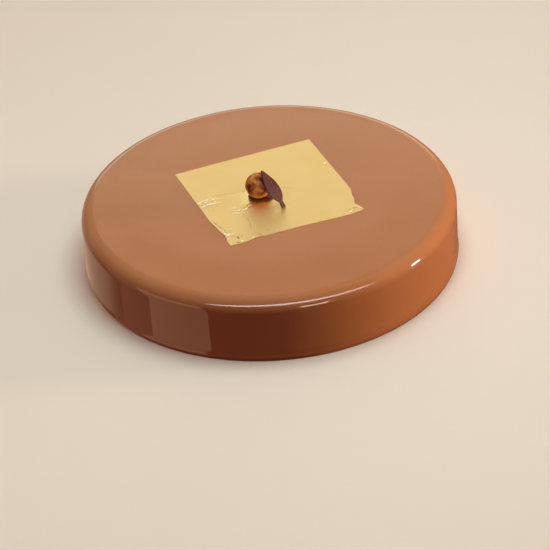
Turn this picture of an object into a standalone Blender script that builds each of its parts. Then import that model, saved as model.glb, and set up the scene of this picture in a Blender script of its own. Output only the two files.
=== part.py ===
"""Chocolate hazelnut cake: a low round cake under a smooth milk chocolate glaze.

A square sheet of edible gold leaf lies on its top. A dab of dark chocolate glues one caramelised
hazelnut near the middle of the sheet, and a small moulded leaf of dark chocolate leans on the nut.

Units are metres, and +Z is up. The origin is the middle of the flat base, at the height of the table.
"""

from math import cos, exp, hypot, pi, radians, sin

import bmesh
import bpy
from mathutils import Vector, noise

MM = 0.001
GAP = 0.3 * MM  # left between pieces that rest on each other

# The cake: a ring-moulded body. Its glaze rounds the top edge and gathers in a bead at the foot.
CAKE_DIAMETER = 220 * MM
CAKE_HEIGHT = 39.5 * MM
SHOULDER_RADIUS = 8 * MM
BEAD_DEPTH = 0.5 * MM
BEAD_HEIGHT = 4 * MM
CAKE_SIDES = 96
SHOULDER_STEPS = 8
WALL_STEPS = 4
BEAD_STEPS = 6

# The gold leaf: a standard 86 mm square, laid at a slant. Its own X and Y run along its sides.
SHEET_SIDE = 86 * MM
SHEET_THICKNESS = 0.3 * MM
SHEET_PLACE = (1.2 * MM, 4.6 * MM)
SHEET_TURN = radians(20)
SHEET_CELLS = 24
RIPPLE_HEIGHT = 0.08 * MM
RIPPLE_LENGTH = 15 * MM
CALM_RADIUS = 9 * MM  # the sheet is pressed flat this far round each thing that stands on it
CALM_EDGE = 4 * MM

# Where the sheet was torn, its sides pull in: depth, where the pull begins, and over what length.
RIGHT_TEAR = (3.2 * MM, -18 * MM, 18 * MM)
LEFT_TEAR = (2.2 * MM, -10 * MM, 20 * MM)

# Creases of the sheet: start, end, height and width, in mm along its own sides.
SHEET_CREASES = (
    ((-16, -12), (-26, -15), 0.45, 3.0),  # off the nut, to the left
    ((-24, -16), (-27, -38), 0.35, 2.6),  # from there on to the front edge
    ((-41, 10), (-27, 4), 0.35, 3.0),  # wrinkles at the left edge
    ((-41, 3), (-31, -5), 0.30, 3.0),
    ((-43, -11), (-40, -29), 0.55, 2.6),  # the turned-over left edge
    ((-38, -30), (-35, -43), 0.50, 2.6),  # the front corner's flap
    ((32, -43), (39, -35), 0.50, 2.6),  # the right corner's flap
)

# The nut: nearly round, with a small flat spot to stand on, glued down by a dab of chocolate.
NUT_PLACE = (-5.2 * MM, -1.6 * MM)
NUT_RADII = (7.4 * MM, 7.2 * MM, 7.2 * MM)
NUT_FLAT = 0.95  # the share of the lower radius that the flat spot leaves
NUT_LUMP = 0.025  # how far the lumps swell, as a share of the radius
NUT_LUMPS_ACROSS = 1.3
NUT_LUMP_SHIFT = Vector((3, 1, 5))
NUT_DETAIL = 4
DAB_PLACE = (-4.1 * MM, -1.1 * MM)
DAB_RADII = (7.2 * MM, 6.4 * MM)
DAB_HEIGHT = 0.8 * MM
DAB_SIDES = 36
DAB_EDGE_STEPS = 4
DAB_WAVE = 0.04  # how uneven the rim is, as a share of the radius
DAB_WAVES_ROUND = 2

# The chocolate leaf: it stands on its stalk and leans back on the nut.
LEAF_FOOT = (8.6 * MM, -14.55 * MM)
LEAF_TURN = radians(35)
LEAF_RISE = radians(48)
LEAF_LENGTH = 23.5 * MM
LEAF_WIDTH = 8.2 * MM
LEAF_THICKNESS = 1.5 * MM
LEAF_BELLY = 0.75  # under 1, the blade is widest below its middle
TIP_WIDTH = 0.5 * MM
STALK_LENGTH = 3 * MM
STALK_WIDTH = 2.2 * MM
LEAF_SWEEP = 2.6 * MM
LEAF_CUP = 0.45 * MM
MIDRIB_HEIGHT = 0.3 * MM
MIDRIB_WIDTH = 0.7 * MM
LEAF_CELLS_ACROSS = 10
LEAF_CELLS_ALONG = 22

# The heights at which the pieces rest on each other.
SHEET_BASE = CAKE_HEIGHT + GAP
SHEET_TOP = SHEET_BASE + SHEET_THICKNESS
DAB_BASE = SHEET_TOP + GAP
NUT_BASE = DAB_BASE + DAB_HEIGHT + GAP

POLE_MERGE = 0.001 * MM


def clear_scene():
    """Remove the objects that a new file starts with."""
    for old in list(bpy.data.objects):
        bpy.data.objects.remove(old, do_unlink=True)


def linear(channel):
    """One sRGB channel, 0 to 255, as linear light."""
    value = channel / 255
    return value / 12.92 if value <= 0.04045 else ((value + 0.055) / 1.055) ** 2.4


def finish(name, colour, roughness, metallic=0.0):
    """A Principled material of one colour, given as sRGB 0 to 255."""
    material = bpy.data.materials.new(name)
    material.use_nodes = True
    shader = material.node_tree.nodes["Principled BSDF"]
    shader.inputs["Base Color"].default_value = [linear(channel) for channel in colour] + [1.0]
    shader.inputs["Roughness"].default_value = roughness
    shader.inputs["Metallic"].default_value = metallic
    return material


def make_object(name, body, material, sharp_angle=radians(40)):
    """Turn a finished bmesh into one smooth-shaded object."""
    bmesh.ops.recalc_face_normals(body, faces=body.faces)
    mesh = bpy.data.meshes.new(name)
    body.to_mesh(mesh)
    body.free()
    mesh.materials.append(material)
    mesh.shade_smooth()
    mesh.set_sharp_from_angle(angle=sharp_angle)
    piece = bpy.data.objects.new(name, mesh)
    bpy.context.collection.objects.link(piece)
    return piece


def turn(profile, sides):
    """Spin a half profile of (radius, height) points, both ends on the axis, into a closed body."""
    body = bmesh.new()
    points = [body.verts.new((radius, 0, height)) for radius, height in profile]
    edges = [body.edges.new(pair) for pair in zip(points, points[1:])]
    bmesh.ops.spin(body, geom=points + edges, cent=(0, 0, 0), axis=(0, 0, 1),
                   angle=2 * pi, steps=sides, use_merge=True)
    bmesh.ops.remove_doubles(body, verts=body.verts, dist=POLE_MERGE)
    return body


def thicken(sheet, drop):
    """Close an open sheet of quads into a slab, its underside split into triangles as its top is."""
    bmesh.ops.triangulate(sheet, faces=sheet.faces)
    copy = bmesh.ops.extrude_face_region(sheet, geom=sheet.faces[:], use_keep_orig=True)
    lower = [part for part in copy["geom"] if isinstance(part, bmesh.types.BMVert)]
    bmesh.ops.translate(sheet, verts=lower, vec=(0, 0, -drop))
    bmesh.ops.triangulate(sheet, faces=[face for face in sheet.faces if len(face.verts) > 3])


def smooth_step(value):
    """0 below 0, 1 above 1, and a smooth rise between."""
    value = min(max(value, 0.0), 1.0)
    return value * value * (3 - 2 * value)


def cake_profile():
    """Half section of the cake: flat top, round shoulder, upright wall, and a bead at the foot."""
    wall = CAKE_DIAMETER / 2 - BEAD_DEPTH
    wall_top = CAKE_HEIGHT - SHOULDER_RADIUS
    points = [(0, CAKE_HEIGHT)]
    for step in range(SHOULDER_STEPS + 1):
        angle = pi / 2 * step / SHOULDER_STEPS
        points.append((wall - SHOULDER_RADIUS * (1 - sin(angle)),
                       wall_top + SHOULDER_RADIUS * cos(angle)))
    for step in range(1, WALL_STEPS + 1):
        points.append((wall, wall_top + (BEAD_HEIGHT - wall_top) * step / WALL_STEPS))
    for step in range(1, BEAD_STEPS + 1):
        along = step / BEAD_STEPS
        points.append((wall + BEAD_DEPTH * sin(pi * along) ** 2, BEAD_HEIGHT * (1 - along)))
    points.append((0, 0))
    return points


def build_cake():
    glaze = finish("milk_chocolate_glaze", (179, 104, 60), 0.12)
    make_object("cake", turn(cake_profile(), CAKE_SIDES), glaze, sharp_angle=radians(60))


def to_sheet(place):
    """A point of the cake's top, in the gold sheet's own X and Y."""
    across = place[0] - SHEET_PLACE[0]
    away = place[1] - SHEET_PLACE[1]
    return (across * cos(SHEET_TURN) + away * sin(SHEET_TURN),
            away * cos(SHEET_TURN) - across * sin(SHEET_TURN))


def tear_pull(across, along):
    """How far in, towards the sheet's middle line, a tear pulls a point."""
    quarter = SHEET_SIDE / 4
    depth, begin, length = RIGHT_TEAR if across > 0 else LEFT_TEAR
    edge_share = smooth_step((abs(across) - quarter) / quarter)
    return depth * smooth_step((begin - along) / length) * edge_share


def crease_height(point, start, end, height, width):
    """What one straight crease of the sheet adds to its height at a point."""
    line = end - start
    along = (point - start).dot(line) / line.length_squared
    nearest = start + line * min(max(along, 0.0), 1.0)
    return height * exp(-((point - nearest).length / width) ** 2)


def calm(point):
    """0 where something stands on the sheet, 1 in the open."""
    rest = 1.0
    for place in (NUT_PLACE, LEAF_FOOT):
        centre = to_sheet(place)
        distance = hypot(point.x - centre[0], point.y - centre[1])
        rest *= smooth_step((distance - CALM_RADIUS) / CALM_EDGE)
    return rest


def sheet_height(point):
    """Height of the sheet above where it lies flat, never below zero."""
    height = RIPPLE_HEIGHT * (1 + noise.noise(point.to_3d() / RIPPLE_LENGTH))
    for start, end, rise, width in SHEET_CREASES:
        height += crease_height(point, Vector(start) * MM, Vector(end) * MM, rise * MM, width * MM)
    return height * calm(point)


def build_gold_leaf():
    gold = finish("gold_leaf", (231, 198, 122), 0.3, metallic=1.0)
    sheet = bmesh.new()
    bmesh.ops.create_grid(sheet, x_segments=SHEET_CELLS, y_segments=SHEET_CELLS, size=SHEET_SIDE / 2)
    for vertex in sheet.verts:
        across, along, _ = vertex.co
        across -= tear_pull(across, along) * (1 if across > 0 else -1)
        vertex.co = (across, along, SHEET_THICKNESS + sheet_height(Vector((across, along))))
    thicken(sheet, SHEET_THICKNESS)
    piece = make_object("gold_leaf", sheet, gold)
    piece.location = (*SHEET_PLACE, SHEET_BASE)
    piece.rotation_euler.z = SHEET_TURN


def build_dab():
    """A flattened drop of chocolate with a round rim, a little uneven round its edge."""
    chocolate = finish("dark_chocolate_dab", (72, 38, 32), 0.35)
    radius, depth = DAB_RADII
    rim = DAB_HEIGHT / 2
    profile = [(0, DAB_HEIGHT)]
    for step in range(DAB_EDGE_STEPS + 1):
        angle = pi * step / DAB_EDGE_STEPS
        profile.append((radius - rim + rim * sin(angle), rim + rim * cos(angle)))
    profile.append((0, 0))
    dab = turn(profile, DAB_SIDES)
    for vertex in dab.verts:
        outward = vertex.co.xy.to_3d()
        if outward.length > 0:
            wave = 1 + DAB_WAVE * noise.noise(outward.normalized() * DAB_WAVES_ROUND)
            vertex.co.x *= wave
            vertex.co.y *= wave * depth / radius
    piece = make_object("chocolate_dab", dab, chocolate)
    piece.location = (*DAB_PLACE, DAB_BASE)


def build_hazelnut():
    """A round nut, lumpy under its caramel, with a small flat spot below."""
    caramel = finish("caramelised_hazelnut", (150, 82, 38), 0.3)
    flat_drop = NUT_FLAT * NUT_RADII[2]
    nut = bmesh.new()
    bmesh.ops.create_icosphere(nut, subdivisions=NUT_DETAIL, radius=1)
    for vertex in nut.verts:
        lump = noise.noise(vertex.co * NUT_LUMPS_ACROSS + NUT_LUMP_SHIFT)
        x, y, z = (part * radius * (1 + NUT_LUMP * lump) for part, radius in zip(vertex.co, NUT_RADII))
        vertex.co = (x, y, max(z, -flat_drop))
    piece = make_object("hazelnut", nut, caramel)
    piece.location = (*NUT_PLACE, NUT_BASE + flat_drop)


def leaf_half_width(along):
    """Half the leaf's width, from 0 at its foot to 1 at its tip: a stalk, a full blade, a point."""
    stalk = STALK_LENGTH / LEAF_LENGTH
    blade = max(along - stalk, 0) / (1 - stalk)
    belly = sin(pi * blade ** LEAF_BELLY)
    core = STALK_WIDTH + (TIP_WIDTH - STALK_WIDTH) * along
    return (core + (LEAF_WIDTH - core) * belly) / 2


def build_chocolate_leaf():
    """A slab with a leaf's outline, cupped, with a raised midrib, swept a little to its left."""
    chocolate = finish("dark_chocolate", (98, 58, 50), 0.45)
    leaf = bmesh.new()
    bmesh.ops.create_grid(leaf, x_segments=LEAF_CELLS_ACROSS, y_segments=LEAF_CELLS_ALONG, size=0.5)
    for vertex in leaf.verts:
        along = min(vertex.co.y + 0.5, 1.0)
        across = 2 * vertex.co.x * leaf_half_width(along)
        rib = MIDRIB_HEIGHT * exp(-(across / MIDRIB_WIDTH) ** 2)
        cup = LEAF_CUP * (2 * across / LEAF_WIDTH) ** 2
        vertex.co = (across - LEAF_SWEEP * along ** 2, along * LEAF_LENGTH, rib - cup)
    thicken(leaf, LEAF_THICKNESS)
    piece = make_object("chocolate_leaf", leaf, chocolate)
    piece.rotation_euler = (LEAF_RISE, 0, LEAF_TURN)
    # The back edge of the foot is the lowest part, and it stands one gap above the gold.
    lowest = LEAF_THICKNESS * cos(LEAF_RISE)
    piece.location = (*LEAF_FOOT, SHEET_TOP + GAP + lowest)


clear_scene()
build_cake()
build_gold_leaf()
build_dab()
build_hazelnut()
build_chocolate_leaf()
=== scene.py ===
# %% [markdown]
# # A round cake under chocolate glaze, with gold leaf and a hazelnut
# The cake is low and round. It was frozen in a ring and then covered with warm milk chocolate glaze, which
# ran level on the top, rounded the edge and set as smooth as a mirror. On top lie a square of edible gold
# leaf, a dab of dark chocolate, one caramelised hazelnut and a small moulded chocolate leaf.
#
# Each piece was measured first as a plain solid. This script loads those solids, models a finer piece in
# the place of each, and gives it the finish of the real thing. All lengths are in metres, and +Z is up.

# %% Load the measured solids
import math

import bmesh
import bpy
from mathutils import Matrix, Vector, noise


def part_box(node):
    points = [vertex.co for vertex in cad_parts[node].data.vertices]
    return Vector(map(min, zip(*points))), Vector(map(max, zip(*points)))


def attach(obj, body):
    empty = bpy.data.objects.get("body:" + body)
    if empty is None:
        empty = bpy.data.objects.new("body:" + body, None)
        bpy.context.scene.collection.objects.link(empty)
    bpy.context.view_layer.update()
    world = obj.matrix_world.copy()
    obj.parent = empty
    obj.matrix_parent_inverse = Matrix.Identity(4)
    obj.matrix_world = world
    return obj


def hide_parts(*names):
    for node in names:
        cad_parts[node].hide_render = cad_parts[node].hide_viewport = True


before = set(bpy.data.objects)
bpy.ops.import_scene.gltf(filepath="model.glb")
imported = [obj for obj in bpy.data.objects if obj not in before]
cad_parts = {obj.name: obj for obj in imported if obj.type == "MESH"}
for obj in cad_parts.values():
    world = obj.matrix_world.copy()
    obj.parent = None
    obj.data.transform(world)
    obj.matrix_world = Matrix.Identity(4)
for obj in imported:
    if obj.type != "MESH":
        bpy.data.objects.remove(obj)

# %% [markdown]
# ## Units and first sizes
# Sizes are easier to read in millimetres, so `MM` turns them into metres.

MM = 0.001
scene = bpy.context.scene
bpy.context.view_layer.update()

# %% [markdown]
# ## The camera
# A food photographer stands well back with a long lens, so the round top keeps an even oval instead of
# swelling towards the viewer. The camera looks down at 34 degrees and is held a little askew. It could be
# aimed with a constraint, but plain numbers stay the same in every other view, so the camera is put on a
# line from the point that it aims at, tipped down, and then rolled round its own axis.

# %% Camera
AIM = Vector((0.83, 0, -16.24)) * MM
CAMERA_DISTANCE = 1631 * MM
CAMERA_RISE = math.radians(33.92)
CAMERA_ROLL = math.radians(-4.065)
LENS_LENGTH = 180  # mm, on a sensor 36 mm wide

camera_data = bpy.data.cameras.new("long_lens")
camera_data.lens = LENS_LENGTH
camera_data.sensor_width = 36
camera_data.clip_end = 20
camera = bpy.data.objects.new("camera", camera_data)
scene.collection.objects.link(camera)
camera.location = AIM + CAMERA_DISTANCE * Vector((0, -math.cos(CAMERA_RISE), math.sin(CAMERA_RISE)))
tip_down = Matrix.Rotation(math.pi / 2 - CAMERA_RISE, 4, "X")
camera.rotation_euler = (tip_down @ Matrix.Rotation(CAMERA_ROLL, 4, "Z")).to_euler()
scene.camera = camera
print("camera at", [round(v, 4) for v in camera.location], "m")

# %% [markdown]
# ## Colour
# Colours are picked on a screen, so they are written as sRGB hex values. Light is worked out on a linear
# scale, and one function turns each value over. The picture is shown with the Standard transform, because
# it keeps a colour as written, where the default one would pale the glaze.

# %% Hex colours to linear light
def linear(hex_colour):
    """A colour such as "#B3683C" as linear red, green and blue, with an alpha of 1."""
    channels = [int(hex_colour[i:i + 2], 16) / 255 for i in (1, 3, 5)]
    return [c / 12.92 if c <= 0.04045 else ((c + 0.055) / 1.055) ** 2.4 for c in channels] + [1.0]


scene.view_settings.view_transform = "Standard"
print("mid grey #808080 is", round(linear("#808080")[0], 3), "in linear light")

# %% [markdown]
# ## A helper for nodes
# A finish is a small network of nodes. Typing each one out takes four lines, so this function adds a node,
# fills in its settings and joins its inputs. A socket is named by its label, or by its number where two
# labels are alike. A colour ramp's stops are a setting too.

# %% One function that adds a node
def add_node(tree, kind, settings=None, links=None):
    """Add a node of that kind. Settings fill its sockets or properties, and links join its inputs."""
    node = tree.nodes.new(kind)
    for key, value in (settings or {}).items():
        if key == "stops":
            ramp = node.color_ramp.elements
            while len(ramp) < len(value):
                ramp.new(0.5)
            for stop, (position, colour) in zip(ramp, value):
                stop.position = position
                stop.color = linear(colour)
        elif isinstance(key, int) or key in node.inputs:
            node.inputs[key].default_value = value
        else:
            setattr(node, key, value)
    for key, source in (links or {}).items():
        tree.links.new(source, node.inputs[key])
    return node


def new_finish(name):
    """A new material, with its node tree and its Principled shader."""
    material = bpy.data.materials.new(name)
    material.use_nodes = True
    return material, material.node_tree, material.node_tree.nodes["Principled BSDF"]


# %% [markdown]
# ## The floor
# A roll of pale painted paper lies under the cake. A plane is enough, because the camera looks down so far
# that no horizon shows. A mirror glaze would pick up so wide a pale sheet and turn grey, so a photographer
# flags it off with black card. Here the floor is hidden from reflections and from bounced light instead.

# %% Floor
FLOOR_SIDE = 8.0
FLOOR_DROP = 0.05 * MM  # just under the cake's flat base

floor_mesh = bmesh.new()
bmesh.ops.create_grid(floor_mesh, x_segments=1, y_segments=1, size=FLOOR_SIDE / 2)
bmesh.ops.translate(floor_mesh, verts=floor_mesh.verts, vec=(0, 0, -FLOOR_DROP))
floor_data = bpy.data.meshes.new("paper_floor")
floor_mesh.to_mesh(floor_data)
floor_mesh.free()
floor = bpy.data.objects.new("paper_floor", floor_data)
scene.collection.objects.link(floor)
floor.visible_glossy = False
floor.visible_diffuse = False
floor.visible_shadow = False

PAPER_MOTTLE = 300 * MM
paper, tree, shader = new_finish("matt_paper")
place = add_node(tree, "ShaderNodeTexCoord").outputs["Object"]
mottle = add_node(tree, "ShaderNodeTexNoise", {"Scale": 1 / PAPER_MOTTLE, "Detail": 3}, {"Vector": place})
tone = add_node(tree, "ShaderNodeValToRGB", {"stops": [(0.3, "#EBDFCC"), (0.7, "#EFE3D0")]},
                {"Fac": mottle.outputs["Fac"]})
tree.links.new(tone.outputs["Color"], shader.inputs["Base Color"])
shader.inputs["Roughness"].default_value = 0.9
shader.inputs["Specular IOR Level"].default_value = 0.2
floor_data.materials.append(paper)
print("floor", FLOOR_SIDE, "m wide")

# %% [markdown]
# ## The room
# A glossy cake shows the room that it stands in. Its top faces the pale end of the room behind it, which
# also fills the gold, and its front faces the dark end, which keeps the glaze deep. The pale end is
# brightest low down and dims upwards, so the top of the cake is palest at its back. A panorama of a real
# room could wrap the scene, but a few soft patches of light are enough, and each can be set by itself.
# Every patch is a spot on the sky: a direction, how wide it is, and how wide its soft edge reaches.
#
# Directions are given from the cake. Azimuth 0 is towards the camera, 90 is to its right, and 180 is
# straight back. Rise is the height over the horizon.

# %% Room
def direction(azimuth, rise):
    """The unit vector from the cake towards a place in the room, in degrees."""
    around, up = math.radians(azimuth), math.radians(rise)
    return Vector((math.sin(around) * math.cos(up), -math.cos(around) * math.cos(up), math.sin(up)))


ROOM_SHADE = "#6C4441"
ROOM_PATCHES = (
    # azimuth, rise, inner and outer radius in degrees, colour, strength
    (180, 18, 8, 20, "#FBFFEA", 0.86),     # pale end of the room, low down
    (180, 50, 20, 50, "#FFFAE4", 0.27),    # the same, dimmer, higher up
    (-145, 5, 10, 32, "#FFE8D0", 0.32),    # the corner on its left
    (-148, -36, 14, 33, "#FFE2B6", 0.48),  # the warm foot of that corner
    (150, -34, 7, 18, "#FFCB80", 0.10),    # the same, much dimmer, on the right
    (0, 90, 20, 70, "#F0E6E6", 0.29),      # ceiling
    (90, 10, 15, 50, "#FFF9C5", 0.21),     # warm glow of the window side
    (-90, 10, 20, 60, "#FFE7CB", 0.16),    # dim side on the left
)

world = bpy.data.worlds.new("studio_room")
scene.world = world
world.use_nodes = True
tree = world.node_tree
look = add_node(tree, "ShaderNodeTexCoord").outputs["Generated"]
light = add_node(tree, "ShaderNodeRGB").outputs[0]
light.default_value = linear(ROOM_SHADE)
for azimuth, rise, inner, outer, colour, strength in ROOM_PATCHES:
    towards = add_node(tree, "ShaderNodeVectorMath",
                       {"operation": "DOT_PRODUCT", 1: direction(azimuth, rise)}, {0: look})
    spot = add_node(tree, "ShaderNodeMapRange",
                    {"interpolation_type": "SMOOTHSTEP", "From Min": math.cos(math.radians(outer)),
                     "From Max": math.cos(math.radians(inner)), "To Max": strength},
                    {"Value": towards.outputs["Value"]})
    light = add_node(tree, "ShaderNodeMix",
                     {"data_type": "RGBA", "blend_type": "ADD", "clamp_factor": False, 7: linear(colour)},
                     {0: spot.outputs["Result"], 6: light}).outputs[2]
tree.links.new(light, tree.nodes["Background"].inputs["Color"])
print("room of", len(ROOM_PATCHES), "patches")

# %% [markdown]
# ## The lamps
# Two lamps light the cake's own colour. A softbox low on the right lights the cake's wall from one side and
# leaves the front left in shade. The grid on it, a honeycomb that narrows its beam, keeps its light off the
# floor. A second softbox hangs overhead and lights the top. Both are kept out of reflections, so that they
# shape the cake without white squares on it.
#
# The other lamps do the opposite. They only show as reflections, which is how a photographer draws on
# gloss. A long oval one over the camera is the thin bright line that runs round the front edge. Two small
# ones are the short line under it and the glint on the right. Two cards stand upright on the left, and
# their mirror images are the tall pale panels on the cake's wall. They reach down past the cake's foot,
# because a camera that looks down on an upright wall sees in it what lies low. A strip of lamp along the
# top of the nearer card makes its panel palest under the shoulder. The last card lies low behind the cake,
# and fills the gold from its back edge.

# %% Lamps
def hang_lamp(name, azimuth, rise, distance, size, watts, colour, shape="RECTANGLE", upright=False,
              grid=180, in_gloss=True, in_matt=True):
    """A flat lamp that faces the cake or stands upright, and lights its gloss, its matt colour or both."""
    data = bpy.data.lights.new(name, "AREA")
    data.shape = shape
    data.size, data.size_y = size
    data.energy = watts
    data.spread = math.radians(grid)
    data.color = linear(colour)[:3]
    lamp = bpy.data.objects.new(name, data)
    scene.collection.objects.link(lamp)
    lamp.location = distance * direction(azimuth, rise)
    facing = direction(azimuth, 0 if upright else rise)
    lamp.rotation_euler = facing.to_track_quat("Z", "Y").to_euler()
    lamp.visible_camera = False
    lamp.visible_glossy = in_gloss
    lamp.visible_diffuse = in_matt
    return lamp


# name, azimuth and rise in degrees, distance and size in metres, watts, colour
hang_lamp("softbox", 93, 4, 3.0, (0.8, 0.8), 5.6, "#FFE9E2", grid=40, in_gloss=False)
hang_lamp("overhead_softbox", 90, 83, 1.0, (0.6, 0.6), 6.1, "#E3FAFF", in_gloss=False)
hang_lamp("edge_light", 10, 46, 2.0, (3.6, 0.40), 36, "#F6EEFF", shape="ELLIPSE", in_matt=False)
hang_lamp("gold_card", 180, 13, 0.8, (0.75, 0.24), 0.42, "#FCFFEC", in_matt=False)
hang_lamp("short_strip", 21, 8, 2.0, (0.53, 0.26), 6, "#FFE6C8", in_matt=False)
hang_lamp("glint_lamp", 86, 6, 2.0, (0.22, 0.14), 8, "#FFF4EC", in_matt=False)
hang_lamp("left_card", -60.5, -22, 1.51, (1.01, 1.25), 4.0, "#FFCCA6", upright=True, in_matt=False)
hang_lamp("left_card_top", -60.5, -5, 1.41, (1.01, 0.46), 1.1, "#FFC08C", upright=True, in_matt=False)
hang_lamp("far_left_card", -92.7, -23, 1.52, (0.60, 1.20), 0.55, "#FFC0A0", upright=True, in_matt=False)
print("lamps hung")

# %% [markdown]
# ## The glazed cake
# A ring-moulded cake is a turned form: one half section swept round an axis. So the section is drawn as
# three straight lines, base, wall and top. Bevelling their outer corner gives the shoulder that the glaze
# makes, and a full spin closes the body. More rings could come from a Subdivision Surface, but that would
# soften the shoulder, so the straight lines are cut into short ones before the spin.

# %% Half section of the cake
cake_low, cake_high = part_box("cake")
CAKE_HEIGHT = cake_high.z
BEAD_DEPTH = 0.5 * MM
BEAD_HEIGHT = 4 * MM
WALL_RADIUS = (cake_high.x - cake_low.x) / 2 - BEAD_DEPTH
SHOULDER_RADIUS = 8 * MM
SHOULDER_STEPS = 24
WALL_CUTS = 44
TOP_CUTS = 54
BASE_CUTS = 6
CAKE_SIDES = 480
POLE_MERGE = 0.001 * MM

cake = bmesh.new()
corners = [cake.verts.new(point) for point in ((0, 0, 0), (WALL_RADIUS, 0, 0),
                                               (WALL_RADIUS, 0, CAKE_HEIGHT), (0, 0, CAKE_HEIGHT))]
for pair in zip(corners, corners[1:]):
    cake.edges.new(pair)
bmesh.ops.bevel(cake, geom=[corners[2]], offset=SHOULDER_RADIUS, segments=SHOULDER_STEPS, profile=0.5,
                affect="VERTICES", material=-1)
long_lines = sorted(cake.edges, key=lambda edge: edge.calc_length())[-3:]
wall_line, top_line, base_line = long_lines
for line, cuts in ((wall_line, WALL_CUTS), (top_line, TOP_CUTS), (base_line, BASE_CUTS)):
    bmesh.ops.subdivide_edges(cake, edges=[line], cuts=cuts)
print("half section of", len(cake.verts), "points")

# %% [markdown]
# ### Sweep the section round
# One full turn of the section makes the body. Its two ends lie on the axis, so each of them turns into a
# ring of points in one spot. Merging those closes the poles, and then all normals are turned outwards.

# %% Spin it into a closed body
bmesh.ops.spin(cake, geom=cake.verts[:] + cake.edges[:], cent=(0, 0, 0), axis=(0, 0, 1),
               angle=2 * math.pi, steps=CAKE_SIDES, use_merge=True)
bmesh.ops.remove_doubles(cake, verts=cake.verts, dist=POLE_MERGE)
bmesh.ops.recalc_face_normals(cake, faces=cake.faces)
print("cake:", len(cake.faces), "faces, volume", round(cake.calc_volume() * 1000, 3), "litres")

# %% [markdown]
# ### What the glaze adds
# Poured glaze isn't quite true. It thins towards the edge, so the top falls by a third of a millimetre
# there, it stands in shallow waves that only bend the reflections, and it gathers in a bead at the foot.
# A displacement texture could do this, but moving the points in code keeps it in the mesh, and the gold
# leaf can follow the same waves.

# %% Waves, edge and bead
def ease(value):
    """0 below 0, 1 above 1, and a smooth rise between."""
    value = min(max(value, 0.0), 1.0)
    return value * value * (3 - 2 * value)


TOP_FALL = 0.35 * MM
FALL_START = 66 * MM
WAVES = ((46 * MM, 0.07 * MM), (15 * MM, 0.028 * MM))  # length and height
BEAD_LUMP = 26 * MM
BEAD_UNEVEN = 0.35  # as a share of its depth
BEAD_THINNER = 0.4  # the noise is lowered by this, so that most of the bead stays inside its measured depth


def glaze_wave(point):
    """How far the waves of the glaze lift a point of the cake."""
    return sum(height * noise.noise(point / length) for length, height in WAVES)


def edge_fall(radius):
    """How far the top sinks towards the shoulder."""
    return TOP_FALL * ease((radius - FALL_START) / (WALL_RADIUS - SHOULDER_RADIUS - FALL_START))


cake.normal_update()
for vertex in cake.verts:
    point = vertex.co.copy()
    if point.z < POLE_MERGE:
        continue
    radius = point.xy.length
    moved = point + vertex.normal * glaze_wave(point) * ease(point.z / BEAD_HEIGHT)
    moved.z -= edge_fall(radius) * ease((point.z - CAKE_HEIGHT + SHOULDER_RADIUS) / SHOULDER_RADIUS)
    if point.z < BEAD_HEIGHT:
        outward = point.xy.normalized().to_3d()
        lump = 1 + BEAD_UNEVEN * (noise.noise(point.xy.to_3d() / BEAD_LUMP) - BEAD_THINNER)
        moved += outward * BEAD_DEPTH * lump * math.sin(math.pi * point.z / BEAD_HEIGHT) ** 2
    vertex.co = moved
print("the glaze is", round(max(v.co.z for v in cake.verts) / MM, 2), "mm high and",
      round(2 * max(v.co.xy.length for v in cake.verts) / MM, 2), "mm across")

# %% [markdown]
# ### From a working copy to an object
# A bmesh is only a working copy, so every finished one is written into a mesh with one material. Smooth
# shading hides its facets. A piece with real edges, such as a thin sheet, keeps those above an angle sharp.

# %% Make it an object
def place_piece(name, body, material, sharp=None):
    """Turn a finished bmesh into a smooth-shaded piece with one material."""
    data = bpy.data.meshes.new(name)
    body.to_mesh(data)
    body.free()
    data.materials.append(material)
    data.shade_smooth()
    if sharp is not None:
        data.set_sharp_from_angle(angle=sharp)
    piece = bpy.data.objects.new(name, data)
    scene.collection.objects.link(piece)
    print(name, "has", sum(len(face.vertices) - 2 for face in data.polygons), "triangles")
    return piece


# %% [markdown]
# ### Milk chocolate mirror glaze
# The glaze is milk chocolate, cream, glucose and gelatine, poured at body heat. It sets soft, wet-looking
# and very even. To the eye it is a clean warm brown with reflections as sharp as on varnish. The brown is
# never one flat colour, though: the cocoa drifts in pale clouds a few centimetres wide, and fine cocoa
# grains show from near by. The lowest few millimetres of the wall get a painted shade, darker towards the
# floor.

# %% Glaze
CLOUD_SIZE = 32 * MM
GRAIN_SIZE = 0.9 * MM  # real grains are 0.03 mm; drawn coarser to show at all
SKIN_WAVE = 5 * MM
SKIN_WAVE_HEIGHT = 0.004 * MM
# how high the painted shade at the foot of the wall reaches
FOOT_SHADE_HEIGHT = 7 * MM

glaze, tree, shader = new_finish("milk_chocolate_mirror_glaze")
place = add_node(tree, "ShaderNodeTexCoord").outputs["Object"]
clouds = add_node(tree, "ShaderNodeTexNoise", {"Scale": 1 / CLOUD_SIZE, "Detail": 2}, {"Vector": place})
grains = add_node(tree, "ShaderNodeTexNoise", {"Scale": 1 / GRAIN_SIZE, "Detail": 3}, {"Vector": place})
brown = add_node(tree, "ShaderNodeValToRGB", {"stops": [(0.3, "#B16F3F"), (0.7, "#B57343")]},
                 {"Fac": clouds.outputs["Fac"]})
grain_tone = add_node(tree, "ShaderNodeValToRGB", {"stops": [(0.35, "#FBFAF9"), (0.6, "#FFFFFF")]},
                      {"Fac": grains.outputs["Fac"]})
grained = add_node(tree, "ShaderNodeMix", {"data_type": "RGBA", "blend_type": "MULTIPLY", 0: 1.0},
                   {6: brown.outputs["Color"], 7: grain_tone.outputs["Color"]})
height = add_node(tree, "ShaderNodeSeparateXYZ", links={0: place}).outputs["Z"]
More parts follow.
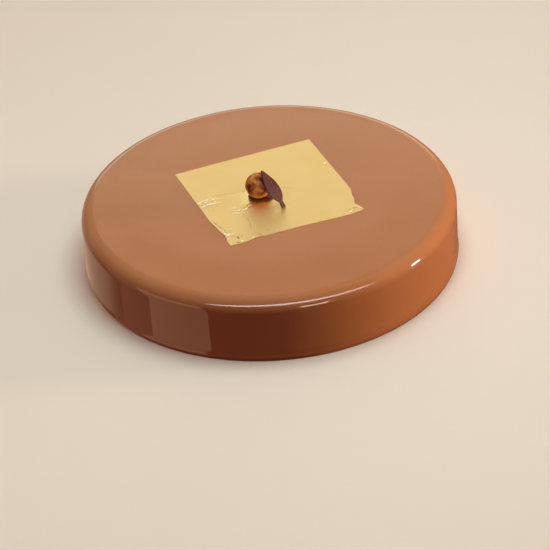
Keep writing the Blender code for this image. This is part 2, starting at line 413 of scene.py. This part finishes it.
# painted shade: the colour darkens towards the floor over the lowest few millimetres of the wall
foot_shade = add_node(tree, "ShaderNodeMapRange",
                {"interpolation_type": "SMOOTHSTEP", "From Max": FOOT_SHADE_HEIGHT, "To Min": 0.45, "To Max": 0.0},
                {"Value": height})
painted_shade = add_node(tree, "ShaderNodeMix", {"data_type": "RGBA", 7: linear("#93491B")},
                {0: foot_shade.outputs["Result"], 6: grained.outputs[2]})
gloss = add_node(tree, "ShaderNodeMapRange", {"To Min": 0.02, "To Max": 0.06},
                 {"Value": clouds.outputs["Fac"]})
skin = add_node(tree, "ShaderNodeTexNoise", {"Scale": 1 / SKIN_WAVE, "Detail": 1}, {"Vector": place})
relief = add_node(tree, "ShaderNodeBump", {"Strength": 1.0, "Distance": SKIN_WAVE_HEIGHT},
                  {"Height": skin.outputs["Fac"]})
tree.links.new(painted_shade.outputs[2], shader.inputs["Base Color"])
tree.links.new(gloss.outputs["Result"], shader.inputs["Roughness"])
tree.links.new(relief.outputs["Normal"], shader.inputs["Normal"])
shader.inputs["IOR"].default_value = 1.5

glazed_cake = place_piece("glazed_cake", cake, glaze)

# %% [markdown]
# ## The gold leaf
# Edible gold is beaten until it is thinner than a hair and sold in squares. Laid with tweezers on wet
# glaze, a square lies flat where it first touched, wrinkles where it was pushed, and tears a little at the
# corners that were held. Cloth simulation would wrinkle it evenly all over, and the real one is calm on one
# side and crumpled on the other. So a fine grid is laid out along the square's own sides, and each wrinkle
# is drawn where it lies: as a narrow ridge, or as a pinch that sinks onto the glaze. Noise breaks them up,
# as no fold runs on at one height. A few torn flakes lean back and catch the light from behind.

# %% Where the gold lies
SHEET_SIDE = 86 * MM
SHEET_PLACE = Vector((1.2, 4.8, 0)) * MM
SHEET_TURN = math.radians(20)
SHEET_CELLS = 215
SHEET_THICKNESS = 0.08 * MM
SHEET_LIFT = 0.05 * MM  # over the glaze

# How far the torn sides pull in, in mm: (place along the side, pull).
RIGHT_TEAR = ((-43, 2.0), (-40, 2.6), (-35.3, 4.0), (-27.5, 2.1), (-19, 0.1), (-12, 0))
LEFT_TEAR = ((-43, 1.4), (-40, 1.2), (-33, 2.2), (-23.5, 0.9), (-14, 0))
FRONT_TEAR = ((-43, -0.2), (-34, -0.7), (-22.5, 0.9), (-19, 0.2), (0, 0), (33, -1.6), (40, -1.2), (43, 0))


def read_between(stops, where):
    """The value between the stops on either side of a place."""
    for (start, low), (end, high) in zip(stops, stops[1:]):
        if where <= end:
            return low + (high - low) * ease((where - start) / (end - start))
    return stops[-1][1]


def torn(across, along):
    """A point of the square, moved as its torn sides pull it."""
    half = SHEET_SIDE / 2
    side = RIGHT_TEAR if across > 0 else LEFT_TEAR
    inward = read_between(side, along / MM) * MM * ease((abs(across) / half - 0.5) * 2)
    upward = read_between(FRONT_TEAR, across / MM) * MM * ease((-along / half - 0.5) * 2)
    return across - math.copysign(inward, across), along + upward


print("gold leaf of", round(SHEET_SIDE / MM), "mm, torn in by up to",
      max(pull for place, pull in RIGHT_TEAR), "mm")

# %% [markdown]
# ### Its wrinkles
# A wrinkle is a smooth bump across a line of points, higher than the leaf or lower. Between the wrinkles
# the leaf is crumpled too finely to draw one by one. There the height comes from noise without its sign,
# because the absolute value of smooth noise turns sharply where it passes 0, as creased foil does. All of
# it fades out under the nut and the stalk, which press the gold flat.

# %% Wrinkles of the gold
# Each wrinkle: its points along the square's sides, its height and its width, in mm. A pinch has a height
# below 0.
WRINKLES = (
    (((-15, -9.1), (-17.6, -10.3), (-18.3, -10.8)), 0.24, 0.45),  # off the nut
    (((-22.6, -11), (-24.8, -12), (-27.5, -13.3)), 0.26, 0.60),
    (((-14.2, -7.7), (-16.9, -8.6), (-19.3, -10.4), (-21.8, -10.9)), -0.16, 0.45),
    (((-22.8, -15.5), (-22.5, -21.2), (-22.7, -25), (-23.4, -28.6), (-24.9, -33.7)), -0.10, 0.45),
    (((-26, -37.1), (-24.2, -37), (-23, -38.4)), 0.40, 0.45),  # front edge
    (((-22.8, -38.7), (-22, -40.6), (-21.3, -42.9)), -0.20, 0.45),
    (((-43.2, 5.2), (-39.9, 6.9), (-36, 7.4)), 0.28, 0.50),  # fan from the left side
    (((-42.8, 0.8), (-39.1, 1.2), (-36, 2.4)), 0.28, 0.60),
    (((-38.5, 5), (-37.3, 5.6), (-32.6, 5.9), (-28, 4.8)), 0.25, 0.50),
    (((-39.5, 1.4), (-38.2, 2), (-32.8, 1.4), (-29.5, 0.4)), 0.23, 0.50),
    (((-37.4, 9.5), (-34.1, 10), (-30.5, 9.7), (-25.8, 8.5), (-20.9, 7.7), (-13.4, 6.6)), -0.07, 0.80),
    (((-43, -13.5), (-42.4, -19), (-41.1, -27.2), (-40.2, -31.5)), 0.14, 0.90),  # turned over
    (((-42.3, -13.9), (-40.9, -19.5), (-39.5, -25.3), (-38.8, -29.9), (-38.4, -32.8)), -0.18, 0.45),
    (((-37.4, -32.9), (-36.1, -34.9), (-34.9, -36.2)), 0.36, 0.45),  # left corner
    (((-34.5, -36.5), (-34.9, -38.8)), -0.24, 0.55),
    (((-33, -37.3), (-31.6, -37.7)), -0.18, 0.45),
    (((-37, -42.2), (-35.8, -43)), -0.20, 0.50),
    (((34.4, -41.6), (36.5, -41.2), (38.8, -41.2)), 0.36, 0.50),  # right corner
    (((33.2, -40.4), (34.4, -40.9)), -0.28, 0.50),
    (((35.9, -39.7), (38.1, -40.2)), -0.28, 0.50),
    (((6.5, 2.6), (9.5, 0.8), (12.1, -1.2)), 0.18, 0.50),  # right of the nut
)
# Torn flakes that stand up at the front and lean back: places, half width in mm, slope, and the way back.
FLAKES = ((-38.4, -32.2), (-39.3, -33.4), (-33.7, -42), (-26.9, -41.8), (-16.2, -37.7),
          (33.2, -42.2), (40, -41.6), (-42, 5.3), (-33, 5.4), (40.8, 13.2), (-19.5, -12.1), (-20.5, -11.9))
FLAKE_REACH = 0.8
FLAKE_SLOPE = 0.16
FLAKE_BACK = Vector((math.sin(SHEET_TURN), math.cos(SHEET_TURN)))
CRUMPLED = ((-37, 3, 10), (-24, -12, 9), (-38, -30, 9), (-28, -40, 9), (37, -40, 6))  # place and radius
CRUMPLE_LENGTH = 2.4 * MM
CRUMPLE_HEIGHT = 0.22 * MM
CRUMPLE_EDGE = 1.4  # a larger number makes the crumpled places end harder
CRUMPLE_SHARP = 3  # and this one makes their folds narrower
BREAK_LENGTH = 3 * MM
LEAST_FOLD = 0.6  # share of its height that a broken fold keeps
DEEPEST = 0.08 * MM  # a pinch stops on the glaze
# the painted shade along a pinch goes no darker than this
DARKEST_CREASE_SHADE = -1.0  # and turns no darker than this
SLACK_LENGTH = 19 * MM
SLACK_HEIGHT = 0.05 * MM
# Painted highlight: a fold this high gets its colour painted nearly white, a flake more so, in patches this
# long.
FULL_FOLD = 0.2 * MM  # a fold this high is rubbed bright
FLAKE_HIGHLIGHT = 1.3  # brighter than a full fold
HIGHLIGHT_PATCH_LENGTH = 2.6 * MM


def ridge(point, path, height, width):
    """Height that a ridge along a path adds at a point, all in mm."""
    reach = 3 * width
    best = reach
    for start, end in zip(path, path[1:]):
        begin, line = Vector(start), Vector(end) - Vector(start)
        along = min(max((point - begin).dot(line) / line.length_squared, 0.0), 1.0)
        best = min(best, (point - begin - line * along).length)
    return height * math.exp(-(best / width) ** 2) if best < reach else 0.0


def crumple(point):
    """Fine sharp folds, only where the leaf was pushed together."""
    share = max(ease(CRUMPLE_EDGE * (1 - (point - Vector((x, y))).length / reach))
                for x, y, reach in CRUMPLED)
    if share == 0:
        return 0.0
    fold = 1 - abs(noise.noise(point.to_3d() * MM / CRUMPLE_LENGTH)) * 2
    return share * CRUMPLE_HEIGHT * max(fold, 0.0) ** CRUMPLE_SHARP


nut_low, nut_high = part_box("hazelnut")
NUT_CENTRE = (nut_low + nut_high) / 2
NUT_PRESS = 6.5 * MM
LEAF_FOOT = Vector((8.6, -14.55, 0)) * MM  # where the stalk of the chocolate leaf stands
LEAF_PRESS = 2.5 * MM
PRESSED = ((NUT_CENTRE, NUT_PRESS), (LEAF_FOOT, LEAF_PRESS))  # what holds the gold down, and how wide
PRESSED_EDGE = 3 * MM
SMOOTHED = 8 * MM  # how far round the nut the gold was smoothed down


def patchy(point, length, middle, contrast):
    """Soft patches of 0 and 1, about that long, for a point in mm."""
    return ease(middle + contrast * noise.noise(point.to_3d() * MM / length))


def gold_height(point, spot):
    """Height of the gold over the glaze and how folded it is, for a point in its own mm and its spot."""
    broken = LEAST_FOLD + (1 - LEAST_FOLD) * patchy(point, BREAK_LENGTH, 0.55, 1.8)
    # patches where the folds get the painted highlight and a smoother surface
    polish_and_highlight = patchy(point, HIGHLIGHT_PATCH_LENGTH, 0.5, 2.2)
    folds = crumple(point) + sum(ridge(point, *wrinkle) for wrinkle in WRINKLES) * MM * broken
    flakes = [point - Vector(place) for place in FLAKES if (point - Vector(place)).length < FLAKE_REACH]
    tip_up = sum(FLAKE_REACH - offset.dot(FLAKE_BACK) for offset in flakes) * FLAKE_SLOPE * MM
    slack = SLACK_HEIGHT * (1 + noise.noise(point.to_3d() * MM / SLACK_LENGTH))
    free = 1.0
    for centre, radius in PRESSED:
        free *= ease(((spot - centre).xy.length - radius) / PRESSED_EDGE)
    # above 0 this steers the painted highlight, below 0 the painted shade of a pinch
    folded = max(folds * (polish_and_highlight if folds > 0 else 1) / FULL_FOLD, FLAKE_HIGHLIGHT if flakes else DARKEST_CREASE_SHADE)
    return max(folds + tip_up + slack, -DEEPEST) * free, folded * free


print(len(WRINKLES), "wrinkles and", len(FLAKES), "flakes")

# %% [markdown]
# ### Lay the square down
# The grid is pulled in where it is torn, moved to its place on the cake, and lifted onto the waves of the
# glaze. Each point also keeps how folded it is and how near the nut it lies, for the finish. Solidify then
# adds the underside and the thin rim, so that the sheet is closed like the real one.

# %% Lay the square down
sheet = bmesh.new()
bmesh.ops.create_grid(sheet, x_segments=SHEET_CELLS, y_segments=SHEET_CELLS, size=SHEET_SIDE / 2)
fold_layer = sheet.verts.layers.float.new("fold")
smooth_layer = sheet.verts.layers.float.new("smoothed")
lay = Matrix.Translation(SHEET_PLACE) @ Matrix.Rotation(SHEET_TURN, 4, "Z")
for vertex in sheet.verts:
    across, along = torn(vertex.co.x, vertex.co.y)
    spot = lay @ Vector((across, along, 0))
    ground = CAKE_HEIGHT + glaze_wave(Vector((spot.x, spot.y, CAKE_HEIGHT)))
    rise, vertex[fold_layer] = gold_height(Vector((across, along)) / MM, spot)
    vertex[smooth_layer] = 1 - ease(((spot - NUT_CENTRE).xy.length - NUT_PRESS) / SMOOTHED)
    vertex.co = (spot.x, spot.y, ground + SHEET_LIFT + SHEET_THICKNESS + rise)
bmesh.ops.recalc_face_normals(sheet, faces=sheet.faces)
if sheet.faces[0].normal.z < 0:
    bmesh.ops.reverse_faces(sheet, faces=sheet.faces)
bmesh.ops.solidify(sheet, geom=sheet.faces[:], thickness=SHEET_THICKNESS)
print("gold leaf:", len(sheet.faces), "faces")

# %% [markdown]
# ### Beaten gold
# Gold of 22 or 23 carat, beaten between skins. It is pure metal, so its colour lies in its reflection: the
# pale room behind the cake comes back as butter yellow. Beating leaves a faint grain, too fine for a clear
# mirror, so it shines like satin. The grain runs one way, and is drawn a little coarser than the real one.
# Where a fold is sharp the leaf is smoother, and its colour is painted nearly white: a painted highlight,
# stronger on the torn flakes. In a pinch the colour is painted deep olive, a painted shade along the line.
# Round the nut it was smoothed down, so the nut shows in it. Each point of the sheet keeps two numbers in
# attributes named fold and smoothed, and they steer all of this.

# %% Gold
BEATEN_GRAIN = 1.4 * MM
GRAIN_STRETCH = 5
GRAIN_DEPTH = 0.006 * MM
TARNISH_SIZE = 22 * MM

gold, tree, shader = new_finish("beaten_gold_leaf")
place = add_node(tree, "ShaderNodeTexCoord").outputs["Object"]
along_sheet = add_node(tree, "ShaderNodeMapping",
                       {"vector_type": "TEXTURE", "Location": SHEET_PLACE, "Rotation": (0, 0, SHEET_TURN),
                        "Scale": (GRAIN_STRETCH, 1, 1)}, {"Vector": place})
beaten = add_node(tree, "ShaderNodeTexNoise", {"Scale": 1 / BEATEN_GRAIN, "Detail": 4, "Roughness": 0.6},
                  {"Vector": along_sheet.outputs[0]})
tarnish = add_node(tree, "ShaderNodeTexNoise", {"Scale": 1 / TARNISH_SIZE, "Detail": 3}, {"Vector": place})
yellow = add_node(tree, "ShaderNodeValToRGB", {"stops": [(0.3, "#FFEAA0"), (0.7, "#FFEEAA")]},
                  {"Fac": tarnish.outputs["Fac"]})
satin = add_node(tree, "ShaderNodeMapRange", {"To Min": 0.50, "To Max": 0.60},
                 {"Value": beaten.outputs["Fac"]})
fold = add_node(tree, "ShaderNodeAttribute", {"attribute_name": "fold"})
# painted highlight: high folds and flakes get their colour painted nearly white
polish_and_highlight = add_node(tree, "ShaderNodeMapRange", {"From Min": 0.3, "From Max": 1.2, "To Max": 0.8},
                  {"Value": fold.outputs["Fac"]})
painted_highlight = add_node(tree, "ShaderNodeMix", {"data_type": "RGBA", 7: linear("#FFF4E4")},
                {0: polish_and_highlight.outputs["Result"], 6: yellow.outputs["Color"]})
# painted shade: a pinch gets its colour painted deep olive, for the shade in the crease
crease_shade = add_node(tree, "ShaderNodeMapRange", {"From Min": -0.1, "From Max": -1.0, "To Max": 0.85},
                   {"Value": fold.outputs["Fac"]})
painted_shade = add_node(tree, "ShaderNodeMix", {"data_type": "RGBA", 7: linear("#A07A30")},
                {0: crease_shade.outputs["Result"], 6: painted_highlight.outputs[2]})
smoothed = add_node(tree, "ShaderNodeAttribute", {"attribute_name": "smoothed"})
pressed = add_node(tree, "ShaderNodeMix", {"data_type": "FLOAT", 3: 0.36},
                   {0: smoothed.outputs["Fac"], 2: satin.outputs["Result"]})
bright = add_node(tree, "ShaderNodeMix", {"data_type": "FLOAT", 3: 0.15},
                  {0: polish_and_highlight.outputs["Result"], 2: pressed.outputs[0]})
relief = add_node(tree, "ShaderNodeBump", {"Strength": 1.0, "Distance": GRAIN_DEPTH},
                  {"Height": beaten.outputs["Fac"]})
tree.links.new(painted_shade.outputs[2], shader.inputs["Base Color"])
tree.links.new(bright.outputs[0], shader.inputs["Roughness"])
tree.links.new(relief.outputs["Normal"], shader.inputs["Normal"])
shader.inputs["Metallic"].default_value = 1.0

gold_sheet = place_piece("gold_sheet", sheet, gold, sharp=math.radians(60))

# %% [markdown]
# ## The dab of chocolate
# A drop of melted dark chocolate glues the nut down. Pressed by the nut, it spreads into a low disc with a
# round rim, a little out of true, and shows as a thin dark ring. A squashed sphere does it: the flattening
# gives the round rim, its widest ring is set low as a wetting drop's is, and slow noise pushes the rim in
# and out. It reaches into the gold below and into the nut above, so that no light shows between them.

# %% Dab
dab_low, dab_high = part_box("chocolate_dab")
DAB_CENTRE = (dab_low + dab_high) / 2
DAB_SPREAD = Vector((1.03, 0.78, 1))  # against the measured drop, wider and less deep
DAB_RADII = (dab_high - dab_low) / 2 * DAB_SPREAD
GOLD_TOP = CAKE_HEIGHT + SHEET_LIFT + SHEET_THICKNESS
OVERLAP = 0.1 * MM  # how far touching pieces reach into each other
DAB_RIM = 0.2 * MM
DAB_EQUATOR = dab_low.z + DAB_RIM  # its widest ring
DAB_BASE = GOLD_TOP - OVERLAP
DAB_TOP = dab_high.z + OVERLAP
DAB_UNEVEN = 0.03  # as a share of its radius
DAB_LOBES = 1.9  # more of them for a larger number


def melt(unit):
    """Flatten a point of a unit sphere into a pressed drop."""
    wave = 1 + DAB_UNEVEN * noise.noise(Vector((unit.x, unit.y, 0)).normalized() * DAB_LOBES)
    reach = DAB_TOP - DAB_EQUATOR if unit.z > 0 else DAB_EQUATOR - DAB_BASE
    return Vector((DAB_CENTRE.x + DAB_RADII.x * unit.x * wave, DAB_CENTRE.y + DAB_RADII.y * unit.y * wave,
                   DAB_EQUATOR + reach * unit.z))


dab = bmesh.new()
bmesh.ops.create_uvsphere(dab, u_segments=72, v_segments=36, radius=1)
for vertex in dab.verts:
    vertex.co = melt(vertex.co.copy())
bmesh.ops.recalc_face_normals(dab, faces=dab.faces)
print("dab from", round(min(v.co.z for v in dab.verts) / MM, 2),
      "to", round(max(v.co.z for v in dab.verts) / MM, 2), "mm high")

# %% [markdown]
# ### Dark chocolate
# Tempered dark chocolate sets with a silky, half-matt skin. To the eye it is a cool purple-brown, never
# black, with a faint bloom of pale cocoa butter and fine crumbs near where it was handled. So two browns
# drift into each other, and small pale specks lie on top, thicker near the foot of a piece.

# %% Dark chocolate
BLOOM_SIZE = 4 * MM
CRUMB_SIZE = 0.45 * MM
CRUMB_TOP = 46.5 * MM  # the height at which the crumbs thin out
CRUMB_EDGE = 3 * MM
TEMPER_DEPTH = 0.02 * MM

dark_chocolate, tree, shader = new_finish("tempered_dark_chocolate")
place = add_node(tree, "ShaderNodeTexCoord").outputs["Object"]
bloom = add_node(tree, "ShaderNodeTexNoise", {"Scale": 1 / BLOOM_SIZE, "Detail": 4}, {"Vector": place})
brown = add_node(tree, "ShaderNodeValToRGB", {"stops": [(0.35, "#54261D"), (0.65, "#69372E")]},
                 {"Fac": bloom.outputs["Fac"]})
crumbs = add_node(tree, "ShaderNodeTexNoise", {"Scale": 1 / CRUMB_SIZE, "Detail": 1}, {"Vector": place})
specks = add_node(tree, "ShaderNodeMapRange", {"From Min": 0.58, "From Max": 0.66},
                  {"Value": crumbs.outputs["Fac"]})
height = add_node(tree, "ShaderNodeSeparateXYZ", links={0: place}).outputs["Z"]
low_down = add_node(tree, "ShaderNodeMapRange",
                    {"From Min": CRUMB_TOP - CRUMB_EDGE, "From Max": CRUMB_TOP + CRUMB_EDGE,
                     "To Min": 0.6, "To Max": 0.08}, {"Value": height})
share = add_node(tree, "ShaderNodeMath", {"operation": "MULTIPLY"},
                 {0: specks.outputs["Result"], 1: low_down.outputs["Result"]})
speckled = add_node(tree, "ShaderNodeMix", {"data_type": "RGBA", 7: linear("#A98B80")},
                    {0: share.outputs[0], 6: brown.outputs["Color"]})
silk = add_node(tree, "ShaderNodeMapRange", {"To Min": 0.38, "To Max": 0.52},
                {"Value": bloom.outputs["Fac"]})
relief = add_node(tree, "ShaderNodeBump", {"Strength": 1.0, "Distance": TEMPER_DEPTH},
                  {"Height": crumbs.outputs["Fac"]})
tree.links.new(speckled.outputs[2], shader.inputs["Base Color"])
tree.links.new(silk.outputs["Result"], shader.inputs["Roughness"])
tree.links.new(relief.outputs["Normal"], shader.inputs["Normal"])
shader.inputs["IOR"].default_value = 1.47
shader.inputs["Specular IOR Level"].default_value = 0.25

chocolate_drop = place_piece("chocolate_drop", dab, dark_chocolate)

# %% [markdown]
# ## The hazelnut
# A shelled hazelnut is a round kernel with a blunt point at one end and a flat scar at the other. Faint
# ribs run from end to end, and roasting leaves shreds of papery skin on it. This one was rolled in caramel,
# which fills the hollows. An icosphere has even faces all over, so it takes lumps better than a sphere with
# poles, and three layers of relief are pushed out of it: the kernel's shape, its ribs, and the skin.

# %% Nut
NUT_SINK = 0.9 * MM  # into the soft dab
NUT_SWELL = 1.03  # the caramel, and room for the relief below
NUT_RADII = (nut_high - nut_low) / 2 * NUT_SWELL
NUT_RADII.z = (nut_high.z - nut_low.z + NUT_SINK) / 2
NUT_MIDDLE = (nut_high.z + nut_low.z - NUT_SINK) / 2
NUT_DETAIL = 6
NUT_AXIS = Vector((0.45, 0.55, 0.7)).normalized()  # from the scar to the point
NUT_RIBS = 15
# Heights of its relief, as shares of the radius.
NUT_POINT = 0.05
RIB_HEIGHT = 0.009
LUMP_HEIGHT = 0.04
SKIN_HEIGHT = 0.02
POINT_START, POINT_REACH = 0.8, 0.2  # where the blunt point begins on its axis, and how far it runs
RIB_WANDER = 3  # radians to either side
# How closely the noise is packed for the ribs' wandering, the lumps and the skin, and where it is read.
WANDER_PITCH, LUMP_PITCH, SKIN_PITCH = 1.5, 1.3, 2.6
LUMP_PLACE = Vector((3, 1, 5))
SKIN_PLACE = Vector((1, 7, 2))
SKIN_COVER, SKIN_STEP = 0.05, 5  # larger numbers for more skin, and for a steeper edge to it


def kernel(unit):
    """A point of a unit sphere, shaped into a hazelnut kernel."""
    along = unit.dot(NUT_AXIS)
    side = NUT_AXIS.orthogonal().normalized()
    other = NUT_AXIS.cross(side)
    turn = math.atan2(unit.dot(other), unit.dot(side))
    wander = RIB_WANDER * noise.noise(unit * WANDER_PITCH)
    rib = RIB_HEIGHT * math.cos(NUT_RIBS * turn + wander) * (1 - along * along)
    lump = LUMP_HEIGHT * noise.noise(unit * LUMP_PITCH + LUMP_PLACE)
    skin = SKIN_HEIGHT * ease((noise.noise(unit * SKIN_PITCH + SKIN_PLACE) + SKIN_COVER) * SKIN_STEP)
    point = NUT_POINT * ease((along - POINT_START) / POINT_REACH)
    return unit * (1 - SKIN_HEIGHT + rib + lump + skin + point)


nut = bmesh.new()
bmesh.ops.create_icosphere(nut, subdivisions=NUT_DETAIL, radius=1)
for vertex in nut.verts:
    shaped = kernel(vertex.co.copy())
    vertex.co = (NUT_CENTRE.x + shaped.x * NUT_RADII.x, NUT_CENTRE.y + shaped.y * NUT_RADII.y,
                 NUT_MIDDLE + shaped.z * NUT_RADII.z)
print("nut from", round(min(v.co.z for v in nut.verts) / MM, 2),
      "to", round(max(v.co.z for v in nut.verts) / MM, 2), "mm high")

# %% [markdown]
# ### Caramelised hazelnut
# Under the caramel lie several browns: the pale gold of the kernel, the red-brown of roasted skin, and the
# purple-black where it burnt. The caramel is thin and clear. Low down the colour is painted amber, a
# painted glow for the light that the gold throws up onto the foot of the nut. So the base is a patchy matt
# one with that painted glow low down, under a light Coat, which is Principled's own layer for varnish.
# Noise with some distortion breaks the skin into ragged patches of 3 to 4 mm.

# %% Caramelised nut
SKIN_PATCH = 4.6 * MM
SKIN_SHRED = 1.1 * MM
SHRED_DEPTH = 0.05 * MM
# how far up the painted glow from the gold reaches
GLOW_HEIGHT = 7 * MM  # how far up the caramel pools

caramel_nut, tree, shader = new_finish("caramelised_hazelnut")
place = add_node(tree, "ShaderNodeTexCoord").outputs["Object"]
patches = add_node(tree, "ShaderNodeTexNoise", {"Scale": 1 / SKIN_PATCH, "Detail": 3, "Distortion": 0.7},
                   {"Vector": place})
shreds = add_node(tree, "ShaderNodeTexNoise", {"Scale": 1 / SKIN_SHRED, "Detail": 3}, {"Vector": place})
mixed = add_node(tree, "ShaderNodeMix", {"data_type": "FLOAT", 0: 0.15},
                 {2: patches.outputs["Fac"], 3: shreds.outputs["Fac"]})
browns = add_node(tree, "ShaderNodeValToRGB",
                  {"stops": [(0.39, "#451408"), (0.46, "#81380F"), (0.54, "#AE6422"), (0.68, "#CC8E42")]},
                  {"Fac": mixed.outputs[0]})
height = add_node(tree, "ShaderNodeSeparateXYZ", links={0: place}).outputs["Z"]
# painted glow: towards the foot of the nut the colour turns amber, for the light that the gold throws up
glow_share = add_node(tree, "ShaderNodeMapRange",
                {"interpolation_type": "SMOOTHSTEP", "From Min": nut_low.z,
                 "From Max": nut_low.z + GLOW_HEIGHT, "To Min": 0.85, "To Max": 0.0}, {"Value": height})
painted_glow = add_node(tree, "ShaderNodeMix", {"data_type": "RGBA", 7: linear("#E08C28")},
                 {0: glow_share.outputs["Result"], 6: browns.outputs["Color"]})
relief = add_node(tree, "ShaderNodeBump", {"Strength": 1.0, "Distance": SHRED_DEPTH},
                  {"Height": shreds.outputs["Fac"]})
tree.links.new(painted_glow.outputs[2], shader.inputs["Base Color"])
tree.links.new(relief.outputs["Normal"], shader.inputs["Normal"])
shader.inputs["Roughness"].default_value = 0.6
shader.inputs["Specular IOR Level"].default_value = 0.2
shader.inputs["Coat Weight"].default_value = 0.07
shader.inputs["Coat Roughness"].default_value = 0.3
shader.inputs["Coat IOR"].default_value = 1.5

hazelnut = place_piece("caramel_hazelnut", nut, caramel_nut)

# %% [markdown]
# ## The chocolate leaf
# Melted chocolate was brushed into a leaf mould and peeled out when it had set. So the leaf is an even
# slab with a stalk, a raised midrib, side veins that sweep towards the tip, and a shallow cup. It stands on
# its stalk and leans back on the nut. The measured solid stops just short of the gold, so the stalk is made
# a little longer here and reaches it. The outline follows one curve from foot to tip, so a grid is squeezed
# to that curve and its veins are raised. Solidify could thicken it, but pushes a curved sheet out of its
# outline, so the sheet is extruded straight back and its rim is bevelled round.

# %% Leaf blade
LEAF_TURN = math.radians(35)
LEAF_RISE = math.radians(48)
STALK_REACH = 1.2 * MM  # down to the gold, where the solid stops short of it
LEAF_LENGTH = 23.5 * MM + STALK_REACH
LEAF_WIDTH = 8.2 * MM
LEAF_THICKNESS = 1.5 * MM
LEAF_BELLY = 0.75
TIP_WIDTH = 0.5 * MM
STALK_LENGTH = 3 * MM + STALK_REACH
STALK_WIDTH = 2.2 * MM
LEAF_SWEEP = 2.6 * MM
LEAF_CUP = 0.45 * MM
MIDRIB = (0.3 * MM, 0.7 * MM)  # height and width
VEIN = (0.16 * MM, 0.3 * MM)
VEINS_EACH_SIDE = 6
VEIN_SWEEP = 0.17  # how far a vein runs towards the tip, as a share of the length
VEIN_END = 0.8 * MM  # veins fade this far from the rim
LEAF_CELLS = (60, 150)
LEAF_RIM = 0.18 * MM
RIM_ANGLE = math.radians(60)


def half_width(along):
    """Half the leaf's width, from its foot at 0 to its tip at 1."""
    blade = max(along - STALK_LENGTH / LEAF_LENGTH, 0) / (1 - STALK_LENGTH / LEAF_LENGTH)
    core = STALK_WIDTH + (TIP_WIDTH - STALK_WIDTH) * along
    return (core + (LEAF_WIDTH - core) * math.sin(math.pi * blade ** LEAF_BELLY)) / 2


def vein_height(across, along, half):
    """Height of the midrib and the side veins at a point of the blade."""
    rib = MIDRIB[0] * math.exp(-(across / MIDRIB[1]) ** 2)
    stalk = STALK_LENGTH / LEAF_LENGTH
    reach = abs(across) / (LEAF_WIDTH / 2)
    beat = (along - stalk - VEIN_SWEEP * reach) / (1 - stalk) * (VEINS_EACH_SIDE + 1)
    gap = abs(beat - round(beat)) / (VEINS_EACH_SIDE + 1) * (1 - stalk) * LEAF_LENGTH
    inside = ease((half - abs(across)) / VEIN_END) if 1 <= round(beat) <= VEINS_EACH_SIDE else 0.0
    return rib + VEIN[0] * math.exp(-(gap / VEIN[1]) ** 2) * inside


leaf = bmesh.new()
bmesh.ops.create_grid(leaf, x_segments=LEAF_CELLS[0], y_segments=LEAF_CELLS[1], size=0.5)
for vertex in leaf.verts:
    along = min(vertex.co.y + 0.5, 1.0)
    half = half_width(along)
    across = 2 * vertex.co.x * half
    relief_up = vein_height(across, along, half) - LEAF_CUP * (2 * across / LEAF_WIDTH) ** 2
    vertex.co = (across - LEAF_SWEEP * along ** 2, along * LEAF_LENGTH, relief_up)
bmesh.ops.recalc_face_normals(leaf, faces=leaf.faces)
if leaf.faces[0].normal.z < 0:
    bmesh.ops.reverse_faces(leaf, faces=leaf.faces)
back = bmesh.ops.extrude_face_region(leaf, geom=leaf.faces[:], use_keep_orig=True)
bmesh.ops.translate(leaf, verts=[part for part in back["geom"] if isinstance(part, bmesh.types.BMVert)],
                    vec=(0, 0, -LEAF_THICKNESS))
bmesh.ops.recalc_face_normals(leaf, faces=leaf.faces)
print("chocolate leaf:", len(leaf.faces), "faces before its rim is bevelled")

# %% [markdown]
# ### Stand it up
# The outline and the veins are easiest to work out lying flat, with the foot at the origin. Now the leaf is
# tipped up, turned, and lowered until its stalk meets the gold. The bevel comes last, because the rim is
# then easy to find: only there do two faces meet at a steep angle.

# %% Stand it on its stalk
stand = Matrix.Rotation(LEAF_TURN, 4, "Z") @ Matrix.Rotation(LEAF_RISE, 4, "X")
bmesh.ops.transform(leaf, matrix=stand, verts=leaf.verts)
stalk_end = LEAF_FOOT - stand @ Vector((0, STALK_REACH, 0))
leaf_drop = GOLD_TOP - OVERLAP - min(vertex.co.z for vertex in leaf.verts)
bmesh.ops.translate(leaf, verts=leaf.verts, vec=(stalk_end.x, stalk_end.y, leaf_drop))
rim_edges = [edge for edge in leaf.edges if edge.calc_face_angle(0) > RIM_ANGLE]
bmesh.ops.bevel(leaf, geom=rim_edges, offset=LEAF_RIM, segments=3, profile=0.5, affect="EDGES", material=-1)
print("leaf from", round(min(v.co.z for v in leaf.verts) / MM, 2),
      "to", round(max(v.co.z for v in leaf.verts) / MM, 2), "mm high")
chocolate_leaf = place_piece("moulded_leaf", leaf, dark_chocolate, sharp=math.radians(50))

# %% [markdown]
# ## Put the pieces in the place of the solids
# Each finished piece stands for one measured solid. It rides on the same body and hides that solid.

# %% Ride and replace
STANDS_FOR = (
    (glazed_cake, "cake", "glaze"),
    (gold_sheet, "gold_leaf", "gold"),
    (chocolate_drop, "chocolate_dab", "dark_chocolate"),
    (hazelnut, "hazelnut", "nut"),
    (chocolate_leaf, "chocolate_leaf", "dark_chocolate"),
)
for piece, solid, slot in STANDS_FOR:
    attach(piece, "root")
    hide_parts(solid)
print(len(STANDS_FOR), "pieces stand for", len({solid for piece, solid, slot in STANDS_FOR}), "solids")
